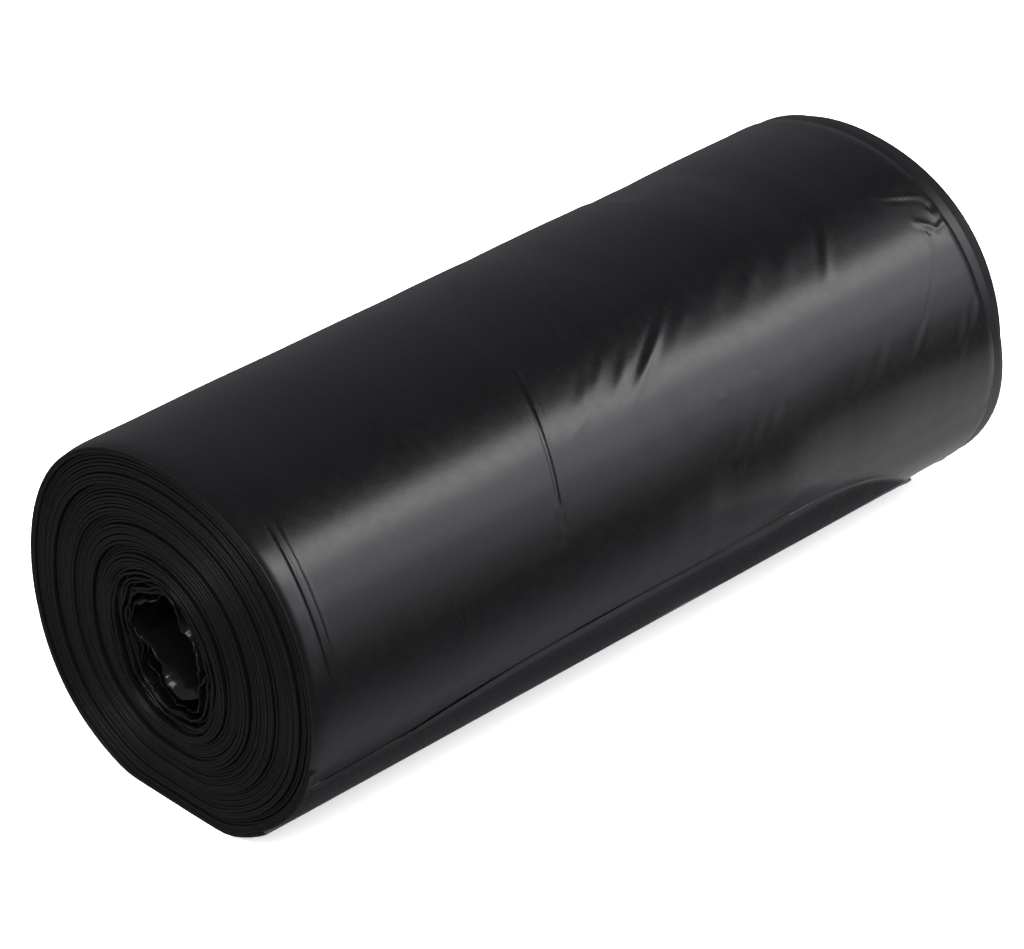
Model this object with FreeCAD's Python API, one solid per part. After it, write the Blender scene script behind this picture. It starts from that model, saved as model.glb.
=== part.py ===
import FreeCAD, Part
import math
import os

os.makedirs("parts", exist_ok=True)

# A roll of film bags, wound from one long web with no core, lying on its side.
# X runs along the roll, -X is the end that faces the viewer, +Y is the back and +Z is up.
# The origin lies on the surface that the roll rests on, under the middle of the roll.
# A section is drawn as seen from the -X end: "across" points to the right, towards -Y,
# and "up" points to +Z, both from the roll's axis. All sizes are in millimetres.

# Lengths along the roll
roll_length = 303.0          # the folded web is 300 wide and wanders a little from side to side
core_setback = 2.5           # the innermost turns lie this far inside both ends
core_setback_turns = 3.0     # and come out to the ends over so many turns
near_setback = 1.0           # the last turns start this far inside the near end
far_setback = 4.0            # and stop this far short of the far end
setback_turns = 1.5          # turns over which the web drifts to those setbacks
edge_wander = 1.2            # the turns' edges wander by this much at both ends
near_wander_turns = 2.9      # turns in one wave of that wander at the near end
far_wander_turns = 3.55      # and at the far end

# The winding
turns = 15.0                 # full turns of the wound web
turn_pitch = 3.13            # the roll's radius grows by this much a turn
air_gap = 0.4                # air between two turns
tail_angle = -15.0           # where the web ends, low on the front
tail_thickness = 1.1         # the web's last fold, at its free edge
tail_turns = 0.8             # turns over which it thins to that
corner_along = 70.0          # the free edge's far corner is round: its size along the roll
corner_around = 36.0         # and its size round the roll

# The hollow in the middle, where a core would be
hollow_radius = 15.8         # mean radius of the hollow
hollow_stretch = 2.8         # the hollow is longer than it is wide
hollow_lean = 24.0           # and leans to the left by this angle
hollow_across = -5.4         # its middle lies off the axis, to the left
hollow_up = -8.0             # and below it
crumple = 2.2                # waves of the innermost turn
crumple_turns = 4.5          # turns over which the waves die out

# The start of the web, a loose flap across the hollow
flap_across = -16.2          # place of the flap's free edge in the section
flap_up = -6.5
flap_slope = -40.0           # direction in which it leaves its free edge
flap_reach = 13.0            # how far the flap keeps that slope
flap_swing = 13.0            # how far before its joint it swings up to the first turn
flap_thickness = 1.1         # one fold of film at that free edge

# The roll's outer shape, which sags under its own weight
sag_spread = 1.8             # wider than high
sag_drop = 0.9               # fuller below than above
sag_square = 0.9             # fuller at its four corners
flat_depth = 3.1             # how far the flat spot is pressed in
flat_softness = 1.2          # how softly a turn bends up out of the flat spot

# Waves of the crumpled turns, each with its lobes, the angle where it starts and its share
waves = ((5.0, 0.6, 0.5), (8.0, 2.1, 0.3), (3.0, 0.0, 0.2))

# How finely the web is drawn. A station is a line across the web, from edge to edge.
stations_per_turn = 24
flap_stations = 6
corner_stations = 6
stations_per_span = 24       # stations that one face of a wall covers
station_clearance = 0.4      # share of a step: a station nearer to a marked one is left out
small_turn = 0.01            # share of a turn that tells which way the first turn sets off
flat_search = 60.0           # an edge of the flat spot lies within this angle from straight down
flat_search_steps = 40
flat_reach = 0.3             # sine of the angle below the axis down to which no wall is pressed
softest_share = 0.6          # the bend out of the flat spot is at most this share of its depth
DOWN = -0.5 * math.pi        # straight down, in radians from "across"


def smooth_step(share):
    share = min(max(share, 0.0), 1.0)
    return share * share * (3.0 - 2.0 * share)


def soft_min(first, second, softness):
    """The smaller value, with a round change from one to the other."""
    blend = max(softness - abs(first - second), 0.0)
    return min(first, second) - blend * blend / (4.0 * softness)


def direction(turn):
    """Direction of the web from the roll's middle, in radians from 'across'."""
    return math.radians(tail_angle) + 2.0 * math.pi * (turn - turns)


def turn_facing(angle):
    """How many turns have been wound when the last turn first passes a direction."""
    return turns - (math.radians(tail_angle) - angle) / (2.0 * math.pi)


def outwards(turn):
    """0 at the hollow and 1 at the outside."""
    return turn / (turns + 1.0)


def mean_radius(turn):
    """It grows by one pitch a turn, and by less under the thin free edge."""
    thinned = max((turn - turns - 1.0) / tail_turns + 1.0, 0.0)
    slowing = turn_pitch - tail_thickness - air_gap
    return hollow_radius + turn_pitch * turn - slowing * thinned * thinned


def round_radius(turn):
    """Radius of the winding with its sag and waves, before the flat spot."""
    angle = direction(turn)
    out = outwards(turn)
    radius = mean_radius(turn)
    radius -= (1.0 - out) * hollow_stretch * math.cos(2.0 * (angle - math.radians(hollow_lean)))
    radius += out * sag_spread * math.cos(2.0 * angle)
    radius -= out * sag_drop * math.sin(angle)
    radius -= out * sag_square * math.cos(4.0 * angle)
    height = crumple * max(1.0 - turn / crumple_turns, 0.0) ** 2
    for lobes, start, share in waves:
        radius += height * share * math.sin(lobes * angle + start)
    return radius


def floor_below(turn):
    """How far below the axis a turn is pressed flat: less on each turn inside."""
    lowest = turn_facing(DOWN)
    lowest += min(max(round(turn - lowest), math.ceil(-lowest)), 1)
    out = outwards(lowest)
    return round_radius(lowest) - (1.0 - out) * hollow_up - flat_depth * out * out


def wall(turn, inset=0.0):
    """Point of the winding after so many turns, as (across, up)."""
    angle = direction(turn)
    out = outwards(turn)
    across = (1.0 - out) * hollow_across
    up = (1.0 - out) * hollow_up
    radius = round_radius(turn) - inset
    below = math.cos(angle - DOWN)
    if below > flat_reach:
        flat_radius = (floor_below(turn) - inset + up) / below
        radius = soft_min(radius, flat_radius, softness)
    return across + radius * math.cos(angle), up + radius * math.sin(angle)


def flat_edge(side):
    """Turn at which the outermost wall leaves the flat spot, before or after 'down'."""
    near = turn_facing(DOWN)
    far = turn_facing(DOWN + side * math.radians(flat_search))
    for _ in range(flat_search_steps):
        middle = 0.5 * (near + far)
        flat_radius = floor_below(middle + 1.0) / math.cos(direction(middle) - DOWN)
        if round_radius(middle + 1.0) - flat_radius > softness:
            near = middle
        else:
            far = middle
    return near


def near_edge(turn):
    drawn_in = core_setback * (1.0 - smooth_step(turn / core_setback_turns))
    stepped = near_setback * smooth_step((turn - turns) / setback_turns + 1.0)
    wander = 0.5 - 0.5 * math.cos(2.0 * math.pi * turn / near_wander_turns)
    return -0.5 * roll_length + drawn_in + stepped + edge_wander * wander


def far_edge(turn):
    drawn_in = core_setback * (1.0 - smooth_step(turn / core_setback_turns))
    stepped = far_setback * smooth_step((turn - turns) / setback_turns + 1.0)
    wander = 0.5 - 0.5 * math.cos(2.0 * math.pi * turn / far_wander_turns)
    return 0.5 * roll_length - drawn_in - stepped - edge_wander * wander


softness = min(flat_softness, softest_share * flat_depth)
axis_height = floor_below(turns + 1.0) - air_gap


class Station:
    """One cross-line of the web: its two walls and its two edges."""

    def __init__(self, inner, outer, near, far):
        self.inner = inner
        self.outer = outer
        self.near = near
        self.far = far

    def place(self, side, end):
        across, up = self.inner if side == "inner" else self.outer
        along = self.near if end == "near" else self.far
        return FreeCAD.Vector(along, -across, axis_height + up)


def wound_station(turn, corner_cut=0.0):
    return Station(wall(turn), wall(turn + 1.0, air_gap), near_edge(turn), far_edge(turn) - corner_cut)


def free_start():
    """The loose flap: a curve from its free edge, across the hollow, into the first turn."""
    end = wall(0.0)
    ahead = wall(small_turn)
    swing = flap_swing / math.hypot(ahead[0] - end[0], ahead[1] - end[1])
    slope = math.radians(flap_slope)
    poles = (
        (flap_across, flap_up),
        (flap_across + flap_reach * math.cos(slope), flap_up + flap_reach * math.sin(slope)),
        (end[0] - swing * (ahead[0] - end[0]), end[1] - swing * (ahead[1] - end[1])),
        end,
    )
    curve = Part.BezierCurve()
    curve.setPoles([FreeCAD.Vector(across, up, 0) for across, up in poles])
    first = wall(1.0, air_gap)
    wound_thickness = math.hypot(first[0] - end[0], first[1] - end[1])
    stations = []
    for index in range(flap_stations):
        share = index / flap_stations
        point = curve.value(share)
        heading = curve.tangent(share)[0]
        thickness = flap_thickness + (wound_thickness - flap_thickness) * share ** 2
        outer = (point.x + thickness * heading.y, point.y - thickness * heading.x)
        stations.append(Station((point.x, point.y), outer, near_edge(0.0), far_edge(0.0)))
    return stations


def web_stations():
    """All stations, and the two at the edges of the flat spot."""
    flat_start = flat_edge(-1)
    flat_end = flat_edge(1)
    corner_turns = corner_around / (2.0 * math.pi * mean_radius(turns))
    corner_start = turns - corner_turns
    marks = [flat_start, flat_end, corner_start]
    clear = station_clearance / stations_per_turn
    regular = [index / stations_per_turn for index in range(int(turns * stations_per_turn))]
    regular = [turn for turn in regular if turn < corner_start]
    regular = [turn for turn in regular if min(abs(turn - mark) for mark in marks) > clear]
    stations = free_start()
    first_flat = None
    last_flat = None
    for turn in sorted(regular + marks):
        if turn == flat_start:
            first_flat = len(stations)
        if turn == flat_end:
            last_flat = len(stations)
        stations.append(wound_station(turn))
    for index in range(1, corner_stations + 1):
        sweep = 0.5 * math.pi * index / corner_stations
        cut = corner_along * (1.0 - math.cos(sweep))
        stations.append(wound_station(corner_start + corner_turns * math.sin(sweep), cut))
    return stations, first_flat, last_flat


def running_lengths(stations):
    """Length along the web, the mean of its two edges, for all four edge curves."""
    lengths = [0.0]
    for before, after in zip(stations, stations[1:]):
        near_step = after.place("inner", "near") - before.place("inner", "near")
        far_step = after.place("inner", "far") - before.place("inner", "far")
        lengths.append(lengths[-1] + 0.5 * (near_step.Length + far_step.Length))
    return lengths


def curve_through(points, lengths, runs=None):
    """A smooth curve, with its run given at some of the points."""
    curve = Part.BSplineCurve()
    if runs is None:
        curve.interpolate(Points=points, Parameters=lengths)
        return curve
    any_run = FreeCAD.Vector(1, 0, 0)
    curve.interpolate(
        Points=points, Parameters=lengths, Scale=False,
        Tangents=[runs.get(index, any_run) for index in range(len(points))],
        TangentFlags=[index in runs for index in range(len(points))])
    return curve


def cut_up(curve, lengths):
    """The pieces of a curve between running lengths."""
    pieces = []
    for start, stop in zip(lengths, lengths[1:]):
        piece = curve.copy()
        piece.segment(start, stop)
        pieces.append(piece)
    return pieces


def inner_pieces(stations, lengths, cuts, end):
    """One curve along the inner wall, cut into short spans."""
    curve = curve_through([station.place("inner", end) for station in stations], lengths)
    return cut_up(curve, [lengths[index] for index in cuts])


def outer_pieces(stations, lengths, cuts, first_flat, last_flat, end):
    """A curve up to the flat spot, a straight line across it and a curve on from it."""
    points = [station.place("outer", end) for station in stations]
    for index in (first_flat, last_flat):
        points[index].z = 0.0
    run = (points[last_flat] - points[first_flat]) / (lengths[last_flat] - lengths[first_flat])
    before = curve_through(points[:first_flat + 1], lengths[:first_flat + 1], {first_flat: run})
    after = curve_through(points[last_flat:], lengths[last_flat:], {0: run})
    pieces = cut_up(before, [lengths[index] for index in cuts if index <= first_flat])
    pieces.append(Part.LineSegment(points[first_flat], points[last_flat]))
    pieces += cut_up(after, [lengths[index] for index in cuts if index >= last_flat])
    return pieces


def ruled_face(one, other):
    """The straight-ruled face between two curves."""
    if one.TypeId != other.TypeId:
        return Part.makeRuledSurface(one.toShape(), other.toShape())
    surface = Part.BSplineSurface()
    surface.buildFromPolesMultsKnots(
        [one.getPoles(), other.getPoles()], [2, 2], one.getMultiplicities(),
        [0.0, 1.0], one.getKnots(), False, False, 1, one.Degree)
    return surface.toShape()


def planar_face(corners):
    return Part.Face(Part.makePolygon(corners + corners[:1]))


def wound_web():
    stations, first_flat, last_flat = web_stations()
    lengths = running_lengths(stations)
    last = len(stations) - 1
    cuts = {0, first_flat, last_flat, last}
    cuts |= {index for index in range(0, last, stations_per_span) if index < first_flat}
    cuts |= set(range(last - corner_stations, last))
    cuts = sorted(cuts)
    curves = {}
    for end in ("near", "far"):
        curves["inner", end] = inner_pieces(stations, lengths, cuts, end)
        curves["outer", end] = outer_pieces(stations, lengths, cuts, first_flat, last_flat, end)
    faces = []
    for span in range(len(cuts) - 1):
        inner_near, inner_far = curves["inner", "near"][span], curves["inner", "far"][span]
        outer_near, outer_far = curves["outer", "near"][span], curves["outer", "far"][span]
        faces.append(ruled_face(inner_near, inner_far))
        faces.append(ruled_face(inner_near, outer_near))
        faces.append(ruled_face(inner_far, outer_far))
        if cuts[span] == first_flat:
            faces.append(planar_face([
                outer_near.StartPoint, outer_near.EndPoint, outer_far.EndPoint, outer_far.StartPoint,
            ]))
        else:
            faces.append(ruled_face(outer_near, outer_far))
    for station in (stations[0], stations[-1]):
        faces.append(planar_face([
            station.place("inner", "near"), station.place("outer", "near"),
            station.place("outer", "far"), station.place("inner", "far"),
        ]))
    shell = Part.makeShell(faces)
    shell.sewShape()
    solid = Part.makeSolid(shell)
    if solid.Volume < 0.0:
        solid.reverse()
    return solid


roll = wound_web()
roll.exportStep("parts/bag_roll.step")
size = roll.BoundBox
print("valid", roll.isValid(), "solids", len(roll.Solids))
print("size", round(size.XLength, 2), round(size.YLength, 2), round(size.ZLength, 2))
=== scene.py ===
# %% [markdown]
# # A roll of black film bags
# The object is one long web of black polyethylene film: bags joined end to end,
# folded lengthwise and wound up with no core. It lies on its side and sags a little.
# The construction model holds the winding as one solid of fifteen turns. Here the same
# winding is dressed in real film: thin plies whose edges show at both ends, a
# crumpled start inside the hollow and a creased outer wrap with its free edge.

# %% Load the frame
import math

import bpy
import numpy as np
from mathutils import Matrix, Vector, noise


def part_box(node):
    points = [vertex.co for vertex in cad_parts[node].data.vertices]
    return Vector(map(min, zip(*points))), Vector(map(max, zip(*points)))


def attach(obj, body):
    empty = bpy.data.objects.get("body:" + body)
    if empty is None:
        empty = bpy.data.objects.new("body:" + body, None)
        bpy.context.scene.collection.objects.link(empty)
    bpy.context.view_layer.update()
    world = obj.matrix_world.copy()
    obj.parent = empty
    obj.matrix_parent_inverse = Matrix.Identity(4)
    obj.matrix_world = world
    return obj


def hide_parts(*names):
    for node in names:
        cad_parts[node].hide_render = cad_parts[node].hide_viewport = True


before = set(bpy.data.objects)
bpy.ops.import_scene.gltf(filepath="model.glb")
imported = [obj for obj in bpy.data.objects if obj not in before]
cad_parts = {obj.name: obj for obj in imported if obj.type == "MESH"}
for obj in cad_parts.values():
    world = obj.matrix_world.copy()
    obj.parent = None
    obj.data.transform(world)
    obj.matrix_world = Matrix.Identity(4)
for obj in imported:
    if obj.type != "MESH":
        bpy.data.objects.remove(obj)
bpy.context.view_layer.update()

# %% [markdown]
# ## Sizes
# All shapes are worked out in millimetres, because the film is thin, and are turned into
# metres when a mesh is made. The winding follows the solid: the same pitch, hollow,
# sag and flat spot. Only what the solid has as one thick turn is split into plies here.

# %% Sizes of the winding
MM = 0.001
low, high = (Vector(corner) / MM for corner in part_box("bag_roll"))
roll_length = high.x - low.x

turns = 15.0
turn_pitch = 3.13
air_gap = 0.4
tail_angle = math.radians(-15.0)
tail_thickness = 1.1
tail_turns = 0.8
hollow_radius = 15.8
hollow_stretch = 2.8
hollow_lean = math.radians(24.0)
hollow_across, hollow_up = -5.4, -8.0
sag_spread, sag_drop, sag_square = 1.8, 0.9, 0.9
flat_depth, flat_softness = 3.1, 1.2
down = math.radians(270.0)
crumple, crumple_turns = 2.2, 4.5
waves = ((5.0, 0.6, 0.5), (8.0, 2.1, 0.3), (3.0, 0.0, 0.2))  # lobes, start, share
print("roll length, mm:", round(roll_length, 1))

# %% [markdown]
# ## The section of the winding
# A point of the film is given by its layer, counted in turns of the solid from the
# hollow outwards, and by the direction in which it lies, counted from the right as seen
# from the near end. The radius grows with the layer, and the sag makes the section
# wider than high. At the bottom every layer is pressed flat, the outer ones most.

# %% Radius and place of a layer
def wavy(layer, angle):
    """The crumple of the first turns, in mm, which fades out over the next ones."""
    height = crumple * np.maximum(1.0 - layer / crumple_turns, 0.0) ** 2
    return height * sum(share * np.sin(lobes * angle + start) for lobes, start, share in waves)


def round_radius(layer, angle):
    """Radius in mm of a layer with its oval hollow and its sag, but no flat spot."""
    out = layer / (turns + 1.0)
    thinned = np.maximum((layer - turns - 1.0) / tail_turns + 1.0, 0.0)
    slowing = turn_pitch - tail_thickness - air_gap
    radius = hollow_radius + turn_pitch * layer - slowing * thinned ** 2
    radius = radius - (1.0 - out) * hollow_stretch * np.cos(2.0 * (angle - hollow_lean))
    radius = radius + out * sag_spread * np.cos(2.0 * angle) - out * sag_drop * np.sin(angle)
    return radius - out * sag_square * np.cos(4.0 * angle) + wavy(layer, angle)


def pressed_floor(layer):
    """How far below the axis, in mm, a layer is stopped by the flat spot."""
    out = layer / (turns + 1.0)
    return round_radius(layer, down) - (1.0 - out) * hollow_up - flat_depth * out ** 2


def section(layer, angle, lift, lowest):
    """Across and up, in mm from the roll's axis, of a layer raised by some lift.

    The lowest layer is the one that this part of the winding has straight below.
    """
    out = layer / (turns + 1.0)
    across, up = (1.0 - out) * hollow_across, (1.0 - out) * hollow_up
    radius = round_radius(layer, angle) + lift
    below = -np.sin(angle)
    flat_radius = (pressed_floor(lowest) + lift + up) / np.maximum(below, 0.3)
    blend = np.maximum(flat_softness - np.abs(radius - flat_radius), 0.0)
    pressed = np.minimum(radius, flat_radius) - blend ** 2 / (4.0 * flat_softness)
    radius = np.where(below > 0.3, pressed, radius)
    return across + radius * np.cos(angle), up + radius * np.sin(angle)


def nearest_down(turn):
    """The turn count nearest to this one at which the web passes straight down."""
    last_down = turns - (360.0 + math.degrees(tail_angle) - 270.0) / 360.0
    whole = np.clip(np.round(turn - last_down), math.ceil(-last_down), 1.0)
    return last_down + whole


axis_height = float(pressed_floor(nearest_down(turns + 1.0))) - air_gap
print("axis above the floor, mm:", round(axis_height, 2), "roll height:", round(high.z, 1))

# %% [markdown]
# The web of the solid is one thick turn. Its inner wall lies at some turn count, and its
# outer wall is the inner wall of the next turn less an air gap. Any film in it is found
# as a share of the way between these two walls, so it lies where the solid has it, and
# a fold or ridge can be raised on it in millimetres.

# %% Angles and soft hills
def winding_angle(turn):
    """Direction in which the web lies at some turn, in radians up from the front."""
    return tail_angle + 2.0 * math.pi * (turn - turns)


def facing_angle(turn, lowest):
    """Degrees up from the front, counted from some lowest angle once round."""
    return (np.degrees(winding_angle(turn)) - lowest) % 360.0 + lowest


def hill(distance, width):
    """1 in the middle, and almost nothing at twice the width."""
    return np.exp(-(distance / width) ** 2)


print("the free edge faces", round(math.degrees(winding_angle(turns)), 1), "degrees")

# %% [markdown]
# A soft roll isn't quite the shape of its solid. Its outer turns stand a little proud on
# top and low at the back, and are drawn in low on the front, where the tail pulls them.
# Each of these places has a height in mm, a middle and a width in degrees.

# %% Places inside the wound web
slack_places = ((0.4, 115.0, 45.0), (0.7, -138.0, 20.0), (-1.3, -47.0, 21.0))


def slack(turn):
    """How far, in mm, the film stands off the solid."""
    facing = facing_angle(turn, -160.0)
    proud = sum(height * hill(facing - middle, width) for height, middle, width in slack_places)
    return proud * (turn / turns) ** 2


def in_web(turn, share, lift=0.0):
    """Across and up, in mm, at a share from the inner to the outer wall of the web."""
    angle = winding_angle(turn)
    lift = lift + slack(turn)
    inner = section(turn, angle, 0.0, nearest_down(turn))
    outer = section(turn + 1.0, angle, -air_gap, nearest_down(turn + 1.0))
    across = inner[0] + share * (outer[0] - inner[0]) + lift * np.cos(angle)
    up = inner[1] + share * (outer[1] - inner[1]) + lift * np.sin(angle)
    return across, up


for degrees, name in ((90.0, "top"), (0.0, "front"), (180.0, "back")):
    turn = np.array([turns - (360.0 + math.degrees(tail_angle) - degrees) / 360.0])
    print(name, "of the roll, mm from the axis:", np.round(in_web(turn, 1.0), 2).ravel())

# %% [markdown]
# ## Lines that wander
# Hand-drawn values repeat, so what wanders on the roll is read from Blender's noise at
# fixed places. It needs no seed: the same place always gives the same value.

# %% Smooth random lines
def drift(values, frequency, offset):
    """A smooth random line between about -1 and 1, for edges that wander."""
    flat = np.ravel(values)
    line = [noise.noise(Vector((value * frequency, offset, 0.37 * offset))) for value in flat]
    return 1.6 * np.array(line).reshape(np.shape(values))


def smooth_step(value):
    """Rises from 0 to 1 without a corner, while the value goes from 0 to 1."""
    share = np.clip(value, 0.0, 1.0)
    return share * share * (3.0 - 2.0 * share)


def creased(along, length, size, offset):
    """A field with sharp ridges between flat faces, from 0 to about 1."""
    flat = [abs(noise.noise(Vector((x / size, s / size, offset)))) for x, s in zip(along, length)]
    return 1.0 - 2.2 * np.array(flat)


print("a drifting line:", np.round(drift(np.arange(4.0), 0.7, 2.0), 2))

# %% [markdown]
# ## The ends of the winding
# A bag web is wound without a guide, so its edges don't stack in one plane. The first
# turns are drawn in, the last turn and a half are set back, and every turn wanders a
# little against the next. That relief is what shows as rings on the end of a roll.

# %% Where the edges of the web lie
core_setback, core_setback_turns = 2.5, 3.0
near_setback, far_setback, setback_turns = 1.0, 4.0, 1.5
edge_wander = 1.2
near_wander_turns, far_wander_turns = 2.9, 3.55


def web_edge(turn, stepped_back, wander_turns):
    """How far, in mm, an edge of the solid's web stands in from the end of the roll."""
    drawn_in = core_setback * (1.0 - smooth_step(turn / core_setback_turns))
    stepped = stepped_back * smooth_step((turn - turns) / setback_turns + 1.0)
    wander = 0.5 - 0.5 * np.cos(2.0 * math.pi * turn / wander_turns)
    return drawn_in + stepped + edge_wander * wander


print("outer turn set back, mm:", near_setback, "near,", far_setback, "far")

# %% [markdown]
# ## A flat tube of film
# Film for bags is blown as a tube and pressed flat, so a web has round folds at both
# edges and not cut ones. Each layer here is such a flat tube. It starts as a grid. Its
# columns run along the winding, and its rows run once round the tube: over the outer
# face, round one fold, back under the inner face and round the other fold. The grid's
# last row meets its first and is merged with it, and the two open ends are filled.

# %% Grids that become film
sharpest_smooth = math.radians(70.0)
seam_join = 0.002


def film_grid(name, columns, rows):
    """A grid of faces, with the column and the row of each of its corners."""
    bpy.ops.object.select_all(action="DESELECT")
    bpy.ops.mesh.primitive_grid_add(x_subdivisions=columns, y_subdivisions=rows, size=2.0)
    sheet = bpy.context.object
    sheet.name = sheet.data.name = name
    flat = np.empty(3 * len(sheet.data.vertices))
    sheet.data.vertices.foreach_get("co", flat)
    flat = flat.reshape(-1, 3)
    column = np.unique(np.round(flat[:, 0], 6), return_inverse=True)[1]
    row = np.unique(np.round(flat[:, 1], 6), return_inverse=True)[1]
    return sheet, column, row


def shape_film(sheet, along, across, up, length):
    """Moves the grid's corners into place and lays its film map, both from mm."""
    mesh = sheet.data
    places = np.stack([along, -across, axis_height + up], axis=1) * MM
    mesh.vertices.foreach_set("co", places.ravel())
    corners = np.empty(len(mesh.loops), dtype=np.int64)
    mesh.loops.foreach_get("vertex_index", corners)
    film_map = np.stack([length[corners], along[corners]], axis=1) * MM
    mesh.uv_layers[0].name = "film"
    mesh.uv_layers[0].data.foreach_set("uv", film_map.ravel())
    mesh.update()


def close_film(sheet):
    """Merges the seam, fills open ends and points all faces outwards."""
    bpy.ops.object.mode_set(mode="EDIT")
    bpy.ops.mesh.select_all(action="SELECT")
    bpy.ops.mesh.remove_doubles(threshold=seam_join * MM)
    bpy.ops.mesh.select_mode(type="EDGE")
    bpy.ops.mesh.select_all(action="DESELECT")
    bpy.ops.mesh.select_non_manifold(extend=False)
    bpy.ops.mesh.fill()
    bpy.ops.mesh.select_all(action="SELECT")
    bpy.ops.mesh.normals_make_consistent(inside=False)
    bpy.ops.object.mode_set(mode="OBJECT")
    bpy.ops.object.shade_smooth_by_angle(angle=sharpest_smooth)
    triangles = sum(len(face.vertices) - 2 for face in sheet.data.polygons)
    print(sheet.name, "has", triangles, "triangles")


print("corners of a seam are merged within, mm:", seam_join)

# %% The rows of a flat tube
fold_steps = [math.radians(step) for step in (-90, -50, -18, 18, 50, 90)]


def fold(nose):
    """Round fold of a tube's edge: how far it stands in, and its side from -1 to 1."""
    return [(nose * (1.0 - math.cos(turned)), math.sin(turned)) for turned in fold_steps]


def tube_rows(face_rows, back_rows, nose):
    """Rows as (share from near to far edge, mm inwards from the near edge, side)."""
    near = [(0.0, inwards, side) for inwards, side in fold(nose)]
    far = [(1.0, -inwards, side) for inwards, side in reversed(fold(nose))]
    face = [(share, inwards, 1.0) for share, inwards in face_rows]
    back = [(share, inwards, -1.0) for share, inwards in reversed(back_rows)]
    rows = near + face + far + back
    return np.array(rows + rows[:1])


layer_nose = 0.24
plain_rows = [(0.0, 2.0), (0.0, 6.0), (0.0, 16.0), (0.5, 0.0),
              (1.0, -16.0), (1.0, -6.0), (1.0, -2.0)]
rows = tube_rows(plain_rows, plain_rows, layer_nose)
print("rows of a plain tube:", len(rows))

# %% [markdown]
# ## The wound layers
# Three flat tubes lie in each turn. The real turns are stacks of film a few hundredths
# of a millimetre thick, so three are drawn coarser than real, as far as a mesh can hold
# them. At the ends the edges of the tubes stand in by different amounts. The first
# turns are loose there, the last ones are pulled tight, and at the far end the outer
# tubes step back one after another, most of all under the tail's round corner.

# %% The edges of a layer
layers = 3
edge_relief = 0.42
start_turns = 3.6
tight_turn, even_turn = 12.8, 12.0
step_back, step_turn = 2.4, 13.98
under_corner, under_corner_turn = 13.0, 14.35


def layer_edge(far_end, layer, turn_line):
    """How far, in mm, one edge of a layer stands in from the end of the roll."""
    stepped = far_setback if far_end else near_setback
    wander_turns = far_wander_turns if far_end else near_wander_turns
    offset = 3.1 * layer + (17.3 if far_end else 0.0)
    start = 1.0 - smooth_step(turn_line / start_turns)
    loose = (1.0 + 1.5 * start) * (1.0 - 0.7 * smooth_step((turn_line - tight_turn) / 1.5))
    # A slow wander opens and closes rings, a ripple roughens them, and the start is ragged.
    relief = edge_relief * loose * (0.5 + 0.65 * drift(turn_line, 1.35, offset))
    ripple = 0.12 * drift(turn_line, 7.3, offset + 5.0) + 0.35 * drift(turn_line, 0.6, 40.0)
    relief += ripple * loose + 1.3 * start * drift(turn_line, 8.3, offset + 9.0)
    if far_end:
        relief *= 1.0 - smooth_step(turn_line - even_turn)
    edge = web_edge(turn_line, 0.2 * stepped, wander_turns) + np.maximum(relief, 0.0)
    if far_end:
        edge *= 1.0 - 0.85 * smooth_step((turn_line - even_turn - 0.2) / 0.8)
        edge += step_back * (1.0 + layer) * smooth_step((turn_line - step_turn) / 0.15)
        edge += under_corner * smooth_step((turn_line - under_corner_turn) / 0.5)
    return edge


for layer in range(layers):
    edge = layer_edge(False, layer, np.linspace(0.25, 13.9, 50))
    print("near edge of layer", layer + 1, "stands in, mm:", np.round([edge.min(), edge.max()], 2))

# %% [markdown]
# Near its folds a tube isn't held, so it stands a little up or down, and some rings open
# while others close. The first turns were crushed in the hand when the roll was started.
# The outer turns flare at the far end, apart from where the roll rests on them.

# %% How a layer lifts at its ends
edge_reach = 9.0
crushed_from, crushed_over = 0.4, 2.8
flare_from, flare_over = 11.0, 2.5


def resting(turn):
    """1 where the web lies straight below, pressed by the weight of the roll, else 0."""
    aside = np.abs(facing_angle(turn, -270.0) + 90.0)
    return 1.0 - smooth_step((aside - 24.0) / 14.0)


def layer_lift(layer, turn_line, column, along, length, to_near, to_far):
    """How far, in mm, each point of a layer stands off its place in the turn."""
    turn = turn_line[column]
    at_edge = hill(np.minimum(to_near, to_far), edge_reach)
    near_stand = drift(turn_line, 2.9, 7.7 * layer + 1.0)[column]
    far_stand = drift(turn_line, 2.9, 7.7 * layer + 41.0)[column]
    stand = np.where(to_near < to_far, near_stand, far_stand)
    crushed = 1.0 - smooth_step((turn - crushed_from) / crushed_over)
    crinkle = drift(turn_line, 11.0, 3.0 + 7.7 * layer)[column]
    lift = at_edge * (0.16 * stand + 0.6 * crushed * crinkle)
    hard = crushed > 0.0
    ridges = creased(along[hard], length[hard], 8.0, 5.0 * layer + 2.0) - 0.45
    lift[hard] += at_edge[hard] * crushed[hard] * ridges
    outer = smooth_step((turn - flare_from) / flare_over)
    lift += (0.8 * np.exp(-to_far / 4.0) - 0.5 * np.exp(-to_far / 0.8)) * outer
    return lift * (1.0 - resting(turn) * outer)


print("rests on the web's turn", round(nearest_down(turns), 2), ":", resting(nearest_down(turns)))

# %% [markdown]
# Each layer is one spiral from the hollow to the outside. Its thickness is its share of
# a turn, less a small gap that keeps it clear of its neighbours.

# %% Wind the three layers
layer_gap = 0.07
turn_columns = 96
spread = turn_pitch / (turn_pitch - air_gap)
layer_half = 0.5 * (turn_pitch / layers - layer_gap)
first_turn = 0.25
last_turns = (14.88, 14.9, 13.9)

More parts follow.
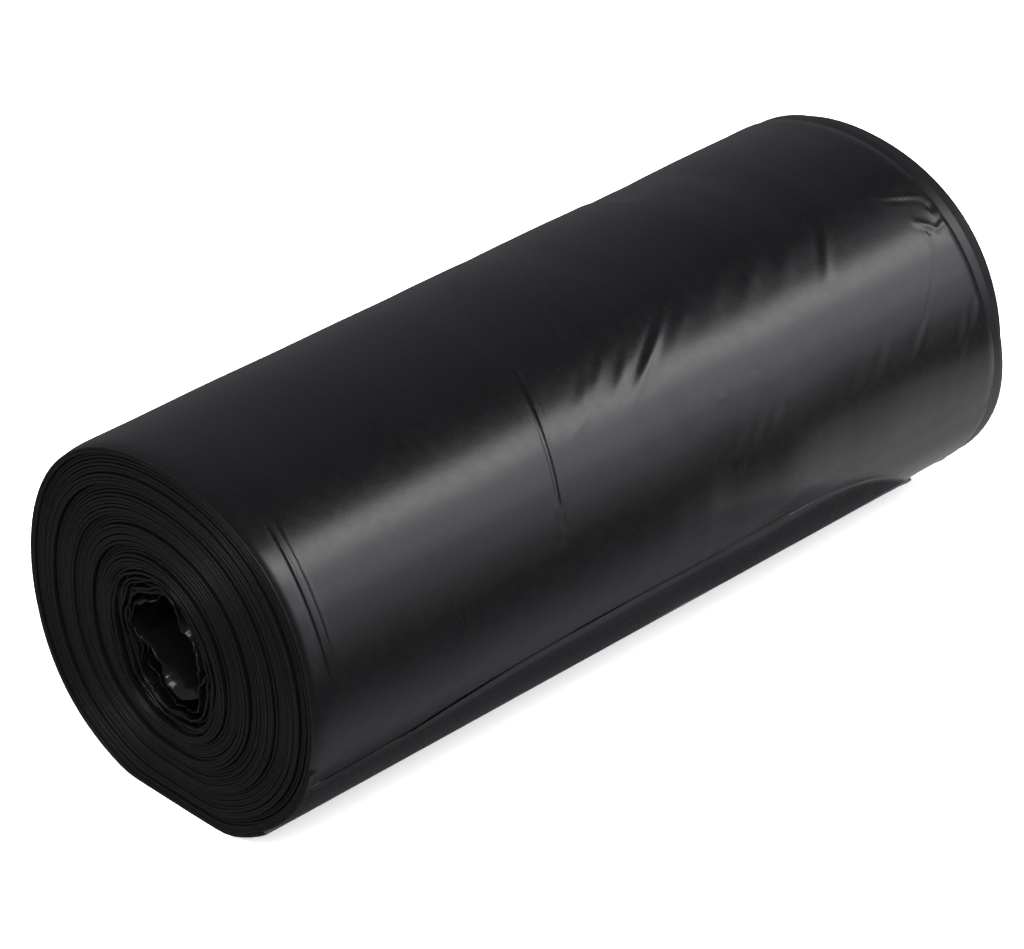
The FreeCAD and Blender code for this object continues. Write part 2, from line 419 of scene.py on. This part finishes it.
for layer in range(layers):
    columns = round((last_turns[layer] - first_turn) * turn_columns)
    sheet, column, row = film_grid(f"wound_layer_{layer + 1}", columns, len(rows) - 1)
    turn_line = np.linspace(first_turn, last_turns[layer], columns + 1)
    mean_radius = hollow_radius + 0.5 * turn_pitch * turn_line
    length = (2.0 * math.pi * mean_radius * turn_line)[column]
    share, inwards, side = rows[row].T

    near = -0.5 * roll_length + layer_edge(False, layer, turn_line)[column]
    far = 0.5 * roll_length - layer_edge(True, layer, turn_line)[column]
    along = near + share * (far - near) + inwards
    to_near, to_far = along - near, np.maximum(far - along, 0.0)
    lift = layer_lift(layer, turn_line, column, along, length, to_near, to_far)
    place = (layer + 0.5) / layers * spread
    across, up = in_web(turn_line[column], place, layer_half * side + lift)
    shape_film(sheet, along, across, up, length)
    close_film(sheet)

# %% [markdown]
# ## The outer wrap
# The last turn is what shows all round the side. It is one wide tube of film from just
# under the free edge, once round the roll, to the free edge itself. It is pulled tight
# on the left, where it is smooth, and hangs looser on the right, where it has slanting
# wrinkles. So its grid is fine where it is seen close and wide at the back.

# %% Columns and rows of the wrap
wrap_start, wrap_end = last_turns[2], turns
edge_turns = 0.012
face_length = 289.0


def spaced(stops):
    """Positions from stop to stop, where each stop is (position, step up to the next)."""
    line = [np.linspace(start, end, max(round((end - start) / step), 1), endpoint=False)
            for (start, step), (end, _) in zip(stops, stops[1:])]
    return np.append(np.concatenate(line), stops[-1][0])


turn_line = spaced([(wrap_start, 0.006), (13.99, 0.0021), (14.42, 0.0085), (14.92, 0.0024),
                    (turns - edge_turns, 0.0012), (wrap_end, 0.0)])
face_line = spaced([(2.0, 1.3), (5.0, 0.5), (13.0, 1.25), (103.0, 0.6), (116.0, 1.15),
                    (236.0, 0.9), (286.0, 1.0)])
face_rows = [(inwards / face_length, 0.0) for inwards in face_line]
back_rows = [(share, 0.0) for share in (0.007, 0.04, 0.2, 0.5, 0.8, 0.96, 0.99)]
print("wrap grid:", len(turn_line), "columns,", len(face_rows), "rows on its face")

# %% [markdown]
# Wrinkles are raised on the wrap as small hills and furrows. Each one has a middle, a
# length, a width, a slant and a height. Its place is given along the roll from the
# middle, and round the roll in degrees up from the front. A slanted ridge is what
# turns the edge of a highlight into a spike.

# %% Helpers that raise wrinkles
degree = math.radians(1.0) * 64.0


def window(value, low, high, soft):
    """1 between two values, with soft ends."""
    return smooth_step((value - low) / soft) * smooth_step((high - value) / soft)


def wrinkle(along, facing, middle, slant, length, width, height):
    """A ridge with a furrow on its upper left, slanted from the roll's round direction."""
    aside = along - middle[0]
    upward = (facing - middle[1]) * degree
    turned = math.radians(slant)
    run = aside * math.sin(turned) + upward * math.cos(turned)
    cross = aside * math.cos(turned) - upward * math.sin(turned)
    furrow = 0.5 * hill(cross + 1.5 * width, width)
    return height * hill(run, length) * (hill(cross, width) - furrow)


print("one degree round the roll, mm:", round(degree, 2))

# %% Where the wrinkles lie
# Each row: (mm along, degrees up), slant, half length, width, height.
# Spikes on the upper edge of the highlight, from the middle of the roll to the right.
slanted = (
    ((10.5, 51.7), 55.0, 12.5, 1.5, 0.48),
    ((-3.3, 50.2), 48.0, 7.5, 1.6, 0.19),
    ((-12.6, 52.0), 44.0, 6.0, 1.5, 0.13),
    ((-19.0, 50.0), 50.0, 7.0, 2.2, 0.14),
    ((-8.0, 55.0), 40.0, 5.0, 1.2, 0.10),
    ((27.0, 55.5), 55.0, 8.0, 2.4, 0.12),
    ((44.0, 57.5), 52.0, 8.0, 3.0, 0.10),
    ((60.0, 57.5), 50.0, 8.0, 2.8, 0.15),
    ((77.0, 58.5), 46.0, 9.0, 3.0, 0.14),
    ((92.0, 55.5), 36.0, 10.0, 1.8, 0.30),
    ((-27.0, 42.5), 62.0, 6.0, 1.4, 0.08),
)
# The pucker at the far end, and soft strokes low on the right.
pucker = (
    ((130.8, 59.9), -65.5, 8.0, 0.9, 0.24),
    ((140.1, 51.0), 16.0, 4.6, 1.0, 0.56),
    ((139.8, 51.0), -30.5, 4.0, 1.0, -0.44),
    ((133.0, 48.1), -47.0, 3.6, 1.0, 0.50),
    ((130.4, 46.6), 3.0, 5.0, 0.9, 0.34),
    ((137.2, 46.5), 70.0, 2.6, 0.8, 0.30),
    ((139.7, 44.3), -15.0, 3.4, 0.9, 0.34),
    ((128.0, 38.5), 20.0, 5.0, 0.7, -0.10),
    ((119.0, 28.5), 42.0, 12.0, 0.7, -0.10),
    ((138.0, 18.0), 24.0, 5.0, 1.4, 0.22),
    ((131.0, 14.5), 22.0, 6.0, 1.6, 0.24),
    ((111.0, 18.5), 40.0, 7.0, 1.6, 0.16),
    ((94.0, 17.5), 36.0, 6.0, 2.0, 0.14),
    ((83.0, 15.5), 34.0, 5.0, 2.2, 0.12),
    ((47.0, 18.5), 40.0, 6.0, 2.0, 0.14),
    ((38.0, 16.5), 36.0, 6.0, 1.8, 0.14),
    ((29.0, 15.0), 34.0, 6.0, 1.8, 0.14),
)
# Small dents and bumps: mm along, degrees up, width, height.
pits = ((42.6, 33.9, 1.1, -0.14), (25.8, 31.1, 1.0, 0.14), (50.0, 20.3, 1.5, -0.12),
        (-17.8, 45.2, 0.9, -0.14), (-100.0, 21.0, 1.2, 0.06))
print("wrinkles:", len(slanted) + len(pucker), "and pits:", len(pits))

# %% [markdown]
# One long crease crosses the highlight near the middle: a ridge with a furrow on its
# left, higher towards its top. Above it a finer line runs on over the top of the roll.
# Four fine lines near the near end look like the folded edge of a bag below, pressed
# through. Each of them is a hill over the distance from a curved line.

# %% The crease and the fine lines
crease_bottom, crease_top = 11.5, 68.0
# Lines near the near end: mm to the right of the strongest one, and height.
pressed_lines = ((-1.1, -0.26), (0.0, 0.30), (2.1, -0.20), (3.0, 0.18))


def crease_place(facing):
    """Where the wrap's long crease runs along the roll, at each height round it."""
    rise = (facing - 19.0) / 44.0
    return -46.9 + 9.0 * rise + 2.9 * rise ** 2


def creases(along, facing):
    """Height in mm of the long crease, the line above it and the near lines."""
    aside = along - crease_place(facing)
    seen = window(facing, crease_bottom, crease_top, 6.0)
    ridge = 0.30 + 0.30 * smooth_step((facing - 46.0) / 10.0)
    height = seen * (ridge * hill(aside, 0.6) - 0.34 * hill(aside + 1.2, 0.6))
    height += 0.12 * seen * smooth_step(aside / 3.0) * hill(aside, 30.0)

    above = np.maximum(facing - 63.0, 0.0)
    upper = along - (-14.2 + 0.30 * above + 0.0025 * above ** 2)
    strength = 0.34 * (0.3 + 0.7 * hill(facing - 69.0, 6.0))
    height += window(facing, 62.0, 120.0, 5.0) * strength * hill(upper, 0.7)

    lines = window(facing, 8.0, 60.0, 8.0)
    bent = 0.0028 * (facing - 27.0) ** 2 - 143.2
    for right, deep in pressed_lines:
        height += lines * deep * hill(along - bent - right, 0.5)
    return height


print("the long crease ends at, mm along:", round(crease_place(crease_top), 1))

# %% [markdown]
# The slack of the film is a broad, soft field, stronger to the right, with a fine ripple
# in it. The right half of the wrap also stands up in one broad band above the
# highlight, and it has sunk a little on top, behind the middle of the roll.

# %% The wrap's folds and wrinkles
def soft_field(along, facing, along_size, round_size, offset):
    """Smooth noise on the film, each size in mm."""
    return np.array([noise.noise(Vector((x / along_size, f * degree / round_size, offset)))
                     for x, f in zip(along, facing)])


def wrap_relief(along, facing):
    """Height in mm that folds, wrinkles and slack give the outer wrap."""
    loose = smooth_step((along + 60.0) / 70.0)
    height = (0.25 + 0.45 * loose) * soft_field(along, facing, 34.0, 60.0, 4.0)
    height += (0.02 + 0.07 * loose) * soft_field(along, facing, 9.0, 44.0, 9.0)
    height += creases(along, facing)

    sunk = smooth_step((along - 61.0) / 1.6) * (1.0 - smooth_step((along - 64.0) / 50.0))
    height -= 0.35 * window(facing, 104.0, 176.0, 14.0) * sunk
    band = smooth_step((facing - 53.0) / 20.0) * (1.0 - 0.8 * smooth_step((facing - 84.0) / 30.0))
    height += 0.7 * smooth_step((along + 70.0) / 150.0) * band

    for middle, slant, length, width, high in slanted + pucker:
        height += wrinkle(along, facing, middle, slant, length, width, high)
    for x, f, width, deep in pits:
        height += deep * hill(np.hypot(along - x, (facing - f) * degree), width)
    return height


sample = wrap_relief(np.linspace(-140.0, 140.0, 200), np.full(200, 50.0))
print("relief along the highlight, mm:", round(sample.min(), 2), "to", round(sample.max(), 2))

# %% [markdown]
# The wrap ends at the free edge, low on the front. That edge isn't quite straight: it
# bows down towards the near end. Its far corner is round, and its film thins out over
# the last three millimetres to lie close on the turn below. On the flat spot the weight
# of the roll presses every wrinkle out.

# %% The edges of the wrap
corner_along, corner_around = 76.0, 43.0
far_start, first_draw, last_draw = 6.0, 3.6, 10.5
outer_radius = 62.0


def from_tail(turn):
    """Millimetres along the film to the free edge."""
    return (turns - turn) * 2.0 * math.pi * outer_radius


def wrap_edges(turn_line, column):
    """How far, in mm, the near and far edges of the wrap stand in from the roll's ends."""
    turn = turn_line[column]
    near = web_edge(turn, near_setback, near_wander_turns)
    near += 0.3 * drift(turn_line, 6.0, 21.0)[column]
    far = far_start + first_draw * smooth_step((turn - 14.02) / 0.1)
    far += last_draw * smooth_step((turn - 14.42) / 0.5)
    far += 0.4 * drift(turn_line, 7.0, 27.0)[column]
    corner = np.clip(1.0 - from_tail(turn) / corner_around, 0.0, 1.0)
    return near, far + corner_along * (1.0 - np.sqrt(1.0 - corner ** 2))


print("the round corner starts", corner_around, "mm before the free edge")

# %% Wind the outer wrap
wrap_nose = 0.45
rows = tube_rows(face_rows, back_rows, wrap_nose)
sheet, column, row = film_grid("outer_wrap", len(turn_line) - 1, len(rows) - 1)
share, inwards, side = rows[row].T
turn = turn_line[column]
near, far = wrap_edges(turn_line, column)
near_at, far_at = -0.5 * roll_length + near, 0.5 * roll_length - far
along = near_at + share * (far_at - near_at) + inwards

# %% Lay the free edge down
bow_height, taper_length = 6.0, 3.0
bow = bow_height * np.abs(np.minimum(along, 0.0) / 115.0) ** 3
bent = turn - np.minimum(bow, bow_height) / 360.0 * smooth_step((turn - 14.88) / 0.12)
facing = facing_angle(bent, -90.0)
# Just before its end the wrap sinks from the top of its turn onto the turn below.
lying = smooth_step((turn - 14.8) / 0.19)
over_layers = (layers - 1.0) / layers * (1.0 - smooth_step((turn - 14.84) / 0.05))
under = over_layers + 0.03 - 0.33 * lying
face_share = 1.0 - 0.95 * lying
ended = np.clip(1.0 - from_tail(turn) / taper_length, 0.0, 1.0)
half_share = 0.5 * (face_share - under) * (1.0 - 0.9 * ended)
place = 0.5 * (face_share + under) + side * half_share
free_edge = facing[ended == 1.0]
print("the free edge faces, degrees:", round(free_edge.min(), 1), "to", round(free_edge.max(), 1))

# %% Raise its wrinkles and press them on the flat spot
near_margin, far_margin = (1.1, 1.7), (0.6, 2.2)
pressed = smooth_step((facing + 68.0) / 14.0) * smooth_step((248.0 - facing) / 14.0)
shown = smooth_step((turn - 14.0) / 0.02) * pressed * 0.5 * (1.0 + side)
relief = np.zeros(len(along))
raised = shown > 0.0
relief[raised] = wrap_relief(along[raised], facing[raised])
margin = near_margin[0] * np.exp(-(along - near_at) / near_margin[1])
margin += far_margin[0] * np.exp(-(far_at - along) / far_margin[1])
lift = np.maximum(relief, -0.6) * shown - 0.5 * margin * (1.0 + side) * (turn > 14.0)
across, up = in_web(bent, place, lift)
shape_film(sheet, along, across, up, turn * 2.0 * math.pi * outer_radius)
close_film(sheet)

# %% [markdown]
# ## The start of the winding
# The first bag was gripped and crumpled to start the roll, and its end hangs into the
# hollow as a flap. It is one loose tube of film: a curve across the hollow that turns
# into the first turn. Its crumples are sharp ridges, strongest near the two ends, made
# from the fold in a smooth random field where its value changes sign.

# %% The flap's curve
flap_across, flap_up = -16.2, -6.5
flap_slope, flap_reach, flap_swing = math.radians(-40.0), 13.0, 13.0


def flap_curve(share):
    """Across and up on the free start, from its edge to where the first turn begins."""
    begin = Vector(section(np.array(0.0), winding_angle(0.0), 0.0, nearest_down(0.0)))
    ahead = Vector(section(np.array(0.01), winding_angle(0.01), 0.0, nearest_down(0.01)))
    way = (ahead - begin).normalized()
    poles = (Vector((flap_across, flap_up)),
             Vector((flap_across + flap_reach * math.cos(flap_slope),
                     flap_up + flap_reach * math.sin(flap_slope))),
             begin - flap_swing * way, begin)
    rest = 1 - share
    weights = (rest ** 3, 3 * share * rest ** 2, 3 * share ** 2 * rest, share ** 3)
    return [sum(weight * pole[axis] for weight, pole in zip(weights, poles)) for axis in (0, 1)]


print("free start, mm from the axis:", np.round(flap_curve(0.0), 1))

# %% The line that the start follows
flap_line = np.linspace(0.0, 1.0, 34)
start_line = np.linspace(0.0, 1.35, 200)[1:]
inner_gap = 0.5

flap_points = np.array([flap_curve(step) for step in flap_line])
run = np.gradient(flap_points, axis=0)
run /= np.linalg.norm(run, axis=1)[:, None]
flap_out = np.stack([run[:, 1], -run[:, 0]], axis=1)
wound_points = np.stack(in_web(start_line, 0.0, -inner_gap), axis=1)
start_angle = winding_angle(start_line)
wound_out = np.stack([np.cos(start_angle), np.sin(start_angle)], axis=1)
blend = smooth_step((flap_line - 0.7) / 0.3)[:, None]
flap_points = flap_points + inner_gap * ((1.0 - blend) * flap_out - blend * wound_out[0])
line = np.concatenate([flap_points, wound_points])
outwards = np.concatenate([flap_out, wound_out])
steps = np.linalg.norm(np.diff(line, axis=0), axis=1)
length_line = np.concatenate([[0.0], np.cumsum(steps)])
print("crumpled start, mm long:", round(length_line[-1], 1))

# %% [markdown]
# Its two edges are ragged. The crumples fade towards the flap's own edge, which hangs
# nearly smooth, and the flap opens a little like a lip at both ends of the roll.

# %% Crumple and wind the start
start_half = 0.3
crumple_reach = 22.0
smooth_length, flap_length = 30.0, 26.0
lip, lip_more = 1.0, 2.8


def ragged_edge(offset):
    """How far, in mm, an edge of the start stands in from the end of the roll."""
    ragged = 1.6 + 1.4 * drift(length_line, 0.06, offset)
    ragged += 0.8 * drift(length_line, 0.4, offset + 2.0)
    return core_setback + np.maximum(ragged, 0.0)


end_steps = spaced([(1.0, 0.9), (30.0, 2.5), (60.0, 12.0), (96.0, 0.0)])
start_rows = [(0.0, step) for step in end_steps]
start_rows += [(1.0, -step) for step in reversed(end_steps)]
rows = tube_rows(start_rows, start_rows, start_half)
sheet, column, row = film_grid("crumpled_start", len(line) - 1, len(rows) - 1)
share, inwards, side = rows[row].T
near = (-0.5 * roll_length + ragged_edge(61.0))[column]
far = (0.5 * roll_length - ragged_edge(71.0))[column]
along = near + share * (far - near) + inwards
length = length_line[column]

to_end = np.minimum(along - near, far - along)
wound_share = 1.0 - 0.9 * smooth_step((smooth_length - length) / 12.0)
strength = (0.25 + np.exp(-to_end / crumple_reach)) * wound_share
crumples = creased(along, length, 9.5, 3.0) + 0.35 * creased(along, length, 4.2, 8.0) - 0.6
lift = 1.1 * strength * crumples
on_flap = 1.0 - smooth_step((length - flap_length) / 6.0)
opening = lip + lip_more * smooth_step((length - 9.0) / 6.0)
lift += opening * np.exp(-to_end / 3.6) * on_flap
rise = drift(length_line, 0.09, 81.0)[column] - 0.6
lift += 2.4 * np.exp(-to_end / 4.5) * (1.0 - on_flap) * rise
places = line[column] + (start_half * side + lift)[:, None] * outwards[column]
shape_film(sheet, along, places[:, 0], places[:, 1], length)
close_film(sheet)

# %% [markdown]
# ## Black film
# Bin bags are low-density polyethylene (LDPE) with carbon black, blown as a bubble. The
# black hides any light from inside, so all that is seen is the sheen of the surface:
# smooth, and a little hazy, as blown film is. The die leaves faint lines along the web,
# which here run round the roll, and stretching leaves soft bands. All of it is drawn as
# bump on the film's own map, from sizes in mm.

# %% A helper for nodes, and colours from hex
def linear(hex_colour):
    """A colour for a shader from its sRGB hex value."""
    parts = [int(hex_colour[place:place + 2], 16) / 255.0 for place in (1, 3, 5)]
    curve = [part / 12.92 if part <= 0.04045 else ((part + 0.055) / 1.055) ** 2.4
             for part in parts]
    return curve + [1.0]


def add_node(tree, kind, settings=None, **sockets):
    """Adds a node, sets its options, and sets or links its inputs, by name or as at_0."""
    node = tree.nodes.new(kind)
    for option, value in (settings or {}).items():
        setattr(node, option, value)
    for name, value in sockets.items():
        number = name.removeprefix("at_")
        socket = node.inputs[int(number) if number.isdigit() else name.replace("_", " ")]
        if isinstance(value, bpy.types.NodeSocket):
            tree.links.new(value, socket)
        else:
            socket.default_value = value
    return node


print("black film, linear:", np.round(linear("#0d0d0e"), 4))

# %% [markdown]
# The marks on real film are finer than a render of the whole roll can show, so two of
# them are drawn coarser: die lines are about half a millimetre apart, and the finest
# crinkle is about 2 mm wide. Bumps are low, some hundredths of a millimetre, because
# the film is stretched flat over the turns below. Over its first half metre, where it
# was crushed to start the roll, the crinkle is deeper and the sheen sharper.

# %% Sizes of the film's own marks
DIE_LINE, DIE_RUN = 1.6, 0.02  # mm across a line (coarser than real), and its squeeze
BAND, BAND_RUN = 14.0, 0.12  # mm across a band, and its squeeze
CRINKLE = 5.0  # mm, coarser than real
CRUSHED, SMOOTH = 0.22, 0.48  # metres wound on, between which crushed film turns smooth
CRUSHED_BUMP, CRUSHED_ROUGHNESS = 0.24, 0.20
UNEVEN = 0.03
LDPE_IOR = 1.51
print("a die line runs on for about, mm:", round(DIE_LINE / DIE_RUN))

# %% Blown black polyethylene
def blown_film(name, black, roughness, die_lines, stretch, crinkle):
    """Film with die lines, stretch bands and fine crinkle, each a bump height in mm."""
    material = bpy.data.materials.new(name)
    material.use_nodes = True
    tree = material.node_tree
    tree.nodes.clear()
    film_map = add_node(tree, "ShaderNodeUVMap", {"uv_map": "film"}).outputs["UV"]
    wound_on = add_node(tree, "ShaderNodeSeparateXYZ", Vector=film_map).outputs["X"]

    along_web = add_node(tree, "ShaderNodeMapping", Vector=film_map, Scale=(DIE_RUN, 1.0, 1.0))
    fine = add_node(tree, "ShaderNodeTexNoise", Vector=along_web.outputs["Vector"],
                    Scale=1.0 / (DIE_LINE * MM), Detail=2.0)
    stretched = add_node(tree, "ShaderNodeMapping", Vector=film_map, Scale=(BAND_RUN, 1.0, 1.0))
    band = add_node(tree, "ShaderNodeTexNoise", Vector=stretched.outputs["Vector"],
                    Scale=1.0 / (BAND * MM), Detail=3.0, Roughness=0.55)
    speck = add_node(tree, "ShaderNodeTexNoise", Vector=film_map, Scale=1.0 / (CRINKLE * MM),
                     Detail=4.0, Roughness=0.6)

    crushed = add_node(tree, "ShaderNodeMapRange", Value=wound_on, From_Min=CRUSHED,
                       From_Max=SMOOTH, To_Min=CRUSHED_BUMP * MM, To_Max=crinkle * MM)
    first = add_node(tree, "ShaderNodeBump", Height=fine.outputs["Fac"], Distance=die_lines * MM)
    second = add_node(tree, "ShaderNodeBump", Height=band.outputs["Fac"], Distance=stretch * MM,
                      Normal=first.outputs["Normal"])
    third = add_node(tree, "ShaderNodeBump", Height=speck.outputs["Fac"],
                     Distance=crushed.outputs["Result"], Normal=second.outputs["Normal"])

    sheen = add_node(tree, "ShaderNodeMapRange", Value=wound_on, From_Min=CRUSHED,
                     From_Max=SMOOTH, To_Min=CRUSHED_ROUGHNESS, To_Max=roughness)
    uneven = add_node(tree, "ShaderNodeMapRange", Value=speck.outputs["Fac"], From_Min=0.3,
                      From_Max=0.7, To_Min=-UNEVEN, To_Max=UNEVEN)
    haze = add_node(tree, "ShaderNodeMath", {"operation": "ADD"},
                    at_0=sheen.outputs["Result"], at_1=uneven.outputs["Result"])
    shade = add_node(tree, "ShaderNodeMix", {"data_type": "RGBA"}, Factor=band.outputs["Fac"],
                     at_6=linear(black), at_7=linear("#09090b"))
    shader = add_node(tree, "ShaderNodeBsdfPrincipled", Base_Color=shade.outputs[2],
                      Roughness=haze.outputs["Value"], Normal=third.outputs["Normal"],
                      IOR=LDPE_IOR)
    add_node(tree, "ShaderNodeOutputMaterial", Surface=shader.outputs["BSDF"])
    return material


# Stretched tight over the roll: deep black with a long, soft-edged highlight.
wrap_film = blown_film("blown_ldpe_film_outer", "#050506", 0.27, 0.006, 0.05, 0.012)
# Edges of many plies, never quite in line: a duller black in fine rings.
wound_film = blown_film("blown_ldpe_film_wound", "#060607", 0.40, 0.006, 0.06, 0.03)
# Crushed by hand: small sharp glints among dark folds.
crumpled_film = blown_film("blown_ldpe_film_crumpled", "#0b0b0c", 0.18, 0.004, 0.14, 0.20)
print("film materials:", [film.name for film in (wrap_film, wound_film, crumpled_film)])

# %% [markdown]
# Every piece rides on the one body of the roll, takes the place of its solid in the
# render, and is given one of the three films.

# %% Dress the pieces
pieces = {"outer_wrap": wrap_film, "crumpled_start": crumpled_film}
pieces.update({f"wound_layer_{layer + 1}": wound_film for layer in range(layers)})
for name, film in pieces.items():
    piece = bpy.data.objects[name]
    piece.data.materials.clear()
    piece.data.materials.append(film)
    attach(piece, "root")
    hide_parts("bag_roll")
print("dressed:", ", ".join(pieces))

# %% [markdown]
# ## Floor, light and camera
# The roll lies on a white table, as for a catalogue picture. The table is matt, and it
# also glows with painted light of its own, which fills the roll's shadow on it, so the
# table is an even white and the roll has next to no shadow. It is kept out of reflections,
# because black film shows whatever is round it, and the film is lit by cards of its own.

# %% The table
# table_glow is the strength of the table's painted glow, which fills the roll's shadow on it.
table_size, table_glow = 30.0, 0.45
bpy.ops.object.select_all(action="DESELECT")
bpy.ops.mesh.primitive_grid_add(x_subdivisions=8, y_subdivisions=8, size=table_size)
floor = bpy.context.object
floor.name = floor.data.name = "studio_floor"
glowing_table = bpy.data.materials.new("matt_white_table_painted_glow")
glowing_table.use_nodes = True
tree = glowing_table.node_tree
surface = tree.nodes["Principled BSDF"]
position = add_node(tree, "ShaderNodeTexCoord").outputs["Object"]
# The grain of the matt side is far too fine to show, so this is a faint cloud instead.
cloud = add_node(tree, "ShaderNodeTexNoise", Scale=40.0, Detail=3.0, Vector=position)
tone = add_node(tree, "ShaderNodeMix", {"data_type": "RGBA"}, Factor=cloud.outputs["Fac"],
                at_6=linear("#f4f4f4"), at_7=linear("#f7f7f7"))
tree.links.new(tone.outputs[2], surface.inputs["Base Color"])
# The emission is painted light: the table glows by itself and so fills the roll's shadow.
for socket, value in (("Roughness", 0.9), ("Specular IOR Level", 0.2),
                      ("Emission Color", linear("#ffffff")), ("Emission Strength", table_glow)):
    surface.inputs[socket].default_value = value
floor.data.materials.append(glowing_table)
floor.visible_glossy = False
print("table, m across:", round(floor.dimensions.x, 1))

# %% [markdown]
# Film on a roll works like a curved mirror. Seen from this camera, a point of the side
# that faces some angle up from the front reflects one direction of the room, and each
# card is placed by the two angles between which the film shows it. The brightest strip
# is the long highlight. Weaker ones below it let it fade towards the front, two shorter
# ones lift the far half, and a panel on the table lights the film low on the right. One
# small card lights the near end, and two large ones light only the table.

# %% Soft cards of light
ROLL_HEIGHT = 0.06
MIRROR_ALONG = 0.593  # how far the mirrored direction leans towards the far end
MIRROR_ACROSS = math.sqrt(1.0 - MIRROR_ALONG ** 2)


def light_card(name, place, size, radiance, seen_in_film=True, target=(0.0, 0.0, ROLL_HEIGHT)):
    """An area light that faces a point; its power is worked out from its brightness."""
    card = bpy.data.lights.new(name, "AREA")
    card.shape = "RECTANGLE"
    card.size, card.size_y = size
    card.energy = radiance * math.pi * size[0] * size[1]
    lamp = bpy.data.objects.new(name, card)
    bpy.context.scene.collection.objects.link(lamp)
    toward = Vector(target) - Vector(place)
    lamp.location = place
    lamp.rotation_euler = toward.to_track_quat("-Z", "Y").to_euler()
    lamp.visible_glossy = seen_in_film
    return lamp


def strip(name, low_angle, high_angle, radiance, length=1.9, shift=0.0, tint=(1.0, 1.0, 1.0)):
    """A card along the roll that the film shows between two angles above the front."""
    away = 1.6
    turned = math.radians(0.5 * (low_angle + high_angle))
    half = math.radians(0.5 * (high_angle - low_angle))
    reach = away * MIRROR_ACROSS
    middle = MIRROR_ALONG * away + shift
    place = (middle, -reach * math.cos(turned), ROLL_HEIGHT + reach * math.sin(turned))
    size = (length, 2.0 * reach * math.tan(half))
    lamp = light_card(name, place, size, radiance, target=(middle, 0.0, ROLL_HEIGHT))
    lamp.data.color = tint


cool = (0.97, 0.96, 1.06)
strip("key_strip", 46.0, 63.0, 4.5)
strip("upper_slope", 22.0, 46.0, 1.7, tint=cool)
strip("front_slope", 2.0, 22.0, 0.72, tint=cool)
strip("front_fade", -12.0, 2.0, 0.28)
strip("far_slope", 6.0, 44.0, 0.5, length=1.1, shift=0.55, tint=cool)
strip("upper_haze", 63.0, 78.0, 0.4, length=1.1, shift=0.5, tint=cool)

# %% Cards for the low film, the near end and the table
glow = light_card("floor_glow", (0.205, -0.091, 0.001), (0.17, 0.20), 0.42)
glow.rotation_euler = (math.pi, 0.0, math.radians(-31.7))
glow.visible_camera = False
light_card("end_card", (-1.25, -0.12, 1.08), (0.5, 0.5), 5.0)
table_card = (2.4, 2.4)
light_card("floor_light", (-1.6, -0.6, 2.6), table_card, 4.4, seen_in_film=False)
light_card("floor_light_back", (1.2, 1.6, 2.6), table_card, 3.4, seen_in_film=False)

# %% [markdown]
# Where no card is, the film shows the room. The room's tone is drawn by the same angle,
# so each height on the roll gets its own grey: dark over the top, a soft light band just
# above the free edge, and dark again below it. Matt surfaces see an even white tent
# instead, which fills the shadow on the table.

# %% The room around it
TENT = (1.5, 1.5, 1.5, 1.0)
# The film's angle up from the front, and the brightness of what it shows there.
tones = ((-69.5, 0.19), (-60.0, 0.14), (-49.5, 0.085), (-18.5, 0.09), (-15.0, 0.42),
         (-8.0, 0.46), (-2.0, 0.33), (4.0, 0.13), (9.0, 0.08), (24.0, 0.075), (60.0, 0.08),
         (68.0, 0.10), (80.0, 0.17), (95.0, 0.22), (110.0, 0.19))
room_tint = (0.97, 0.98, 1.06)
view_lean = 40.9  # degrees that the mirrored direction lies below twice the film's angle

world = bpy.data.worlds.new("dim_studio")
bpy.context.scene.world = world
world.use_nodes = True
sky = world.node_tree
room = sky.nodes["Background"]
around = add_node(sky, "ShaderNodeTexCoord").outputs["Generated"]
direction = add_node(sky, "ShaderNodeSeparateXYZ", Vector=around)
forward = add_node(sky, "ShaderNodeMath", {"operation": "MULTIPLY"},
                   at_0=direction.outputs["Y"], at_1=-1.0)
angle = add_node(sky, "ShaderNodeMath", {"operation": "ARCTAN2"},
                 at_0=direction.outputs["Z"], at_1=forward.outputs["Value"])
around_share = add_node(sky, "ShaderNodeMapRange", Value=angle.outputs["Value"],
                        From_Min=-math.pi, From_Max=math.pi)
ramp = add_node(sky, "ShaderNodeValToRGB", Fac=around_share.outputs["Result"])
for _ in tones[2:]:
    ramp.color_ramp.elements.new(0.5)
for element, (facing, level) in zip(ramp.color_ramp.elements, tones):
    element.position = (2.0 * facing - view_lean + 180.0) / 360.0
    element.color = [level * part for part in room_tint] + [1.0]
matt_ray = add_node(sky, "ShaderNodeLightPath").outputs["Is Diffuse Ray"]
fill = add_node(sky, "ShaderNodeMix", {"data_type": "RGBA"}, Factor=matt_ray,
                at_6=ramp.outputs["Color"], at_7=TENT)
sky.links.new(fill.outputs[2], room.inputs["Color"])
room.inputs["Strength"].default_value = 1.0
bpy.context.scene.view_settings.view_transform = "Standard"
print("room: tones at", len(tones), "angles")

# %% [markdown]
# The camera looks down on the near end from the front left, with a long lens, as the
# roll was photographed. A long lens keeps its two ends nearly the same size.

# %% The camera
place = Vector((-907.2, -921.5, 854.2)) * MM
target = Vector((-10.08, 0.0, 56.11)) * MM
lens = bpy.data.cameras.new("front_left_camera")
lens.lens = 170.9
lens.sensor_width = 36.0
lens.shift_x, lens.shift_y = -0.0018, -0.0008
lens.clip_start, lens.clip_end = 0.05, 60.0
camera = bpy.data.objects.new("front_left_camera", lens)
bpy.context.scene.collection.objects.link(camera)
camera.location = place
camera.rotation_euler = (target - place).to_track_quat("-Z", "Y").to_euler()
bpy.context.scene.camera = camera
print("camera, m from the roll:", round((target - place).length, 3))
